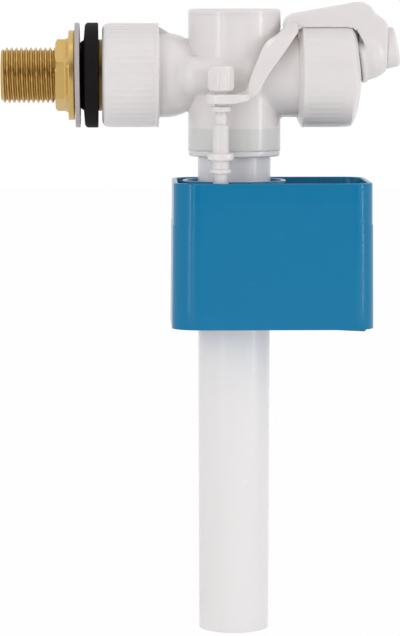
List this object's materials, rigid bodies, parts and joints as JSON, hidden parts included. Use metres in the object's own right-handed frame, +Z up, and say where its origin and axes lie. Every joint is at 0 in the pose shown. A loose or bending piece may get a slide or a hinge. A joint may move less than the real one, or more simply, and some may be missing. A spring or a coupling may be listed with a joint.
{
  "type": "side entry fill valve",
  "caption": "Cistern fill valve with a threaded brass side inlet, a ribbed union, a pilot diaphragm head, a tilting lever, a screw-adjusted float cup and a straight downpipe.",
  "frame": {"origin": "on the inlet axis, where the cistern wall meets the rubber washer", "axes": "+X along the inlet into the cistern, +Z up, -Y towards the float rod"},
  "size_m": [0.1508, 0.0522, 0.2396],
  "materials": {
    "brass": "machined",
    "rubber": "matt moulded",
    "nylon": "satin",
    "white_plastic": "semi-gloss moulded",
    "milky_plastic": "semi-gloss, slightly translucent",
    "blue_plastic": "semi-gloss moulded"
  },
  "bodies": {
    "root": {"inlet_shank": "brass", "backnut": "brass", "nylon_washer": "nylon", "rubber_washer": "rubber", "union_nut": "white_plastic", "shank_gasket": "rubber", "inlet_filter": "nylon", "flow_restrictor": "nylon", "valve_body": "white_plastic", "top_cap": "white_plastic", "diaphragm": "rubber", "metering_pin": "nylon", "pilot_cover": "white_plastic", "clamping_ring": "white_plastic", "pivot_pin": "nylon", "tube_collar": "white_plastic", "tube_seal": "rubber", "downpipe": "milky_plastic"},
    "lever": {"lever": "white_plastic", "pilot_seal": "rubber", "seal_knob": "white_plastic"},
    "carriage": {"rod_collar": "white_plastic"},
    "adjuster": {"adjusting_rod": "white_plastic", "thumb_wheel": "white_plastic"},
    "float": {"float_cup": "blue_plastic", "float_nut": "white_plastic"}
  },
  "joints": [
    {"name": "float_rise", "type": "slide", "parent": "root", "child": "carriage", "axis": [0, 0, 1], "range_m": [0, 0.009]},
    {"name": "lever_tilt", "type": "hinge", "parent": "root", "child": "lever", "pos_m": [0.1068, 0, 0.0228], "axis": [0, 1, 0], "range_deg": [0, 10]},
    {"name": "adjuster_spin", "type": "hinge", "parent": "carriage", "child": "adjuster", "pos_m": [0.0524, -0.0252, 0], "axis": [0, 0, 1], "range_deg": [-480, 1920]},
    {"name": "float_adjust", "type": "slide", "parent": "carriage", "child": "float", "axis": [0, 0, 1], "range_m": [-0.016, 0.004]}
  ],
  "couplings": [
    {"joint": "lever_tilt", "follows": "float_rise", "rad_per_m": 19.23},
    {"joint": "adjuster_spin", "follows": "float_adjust", "rad_per_m": -2094.4}
  ]
}
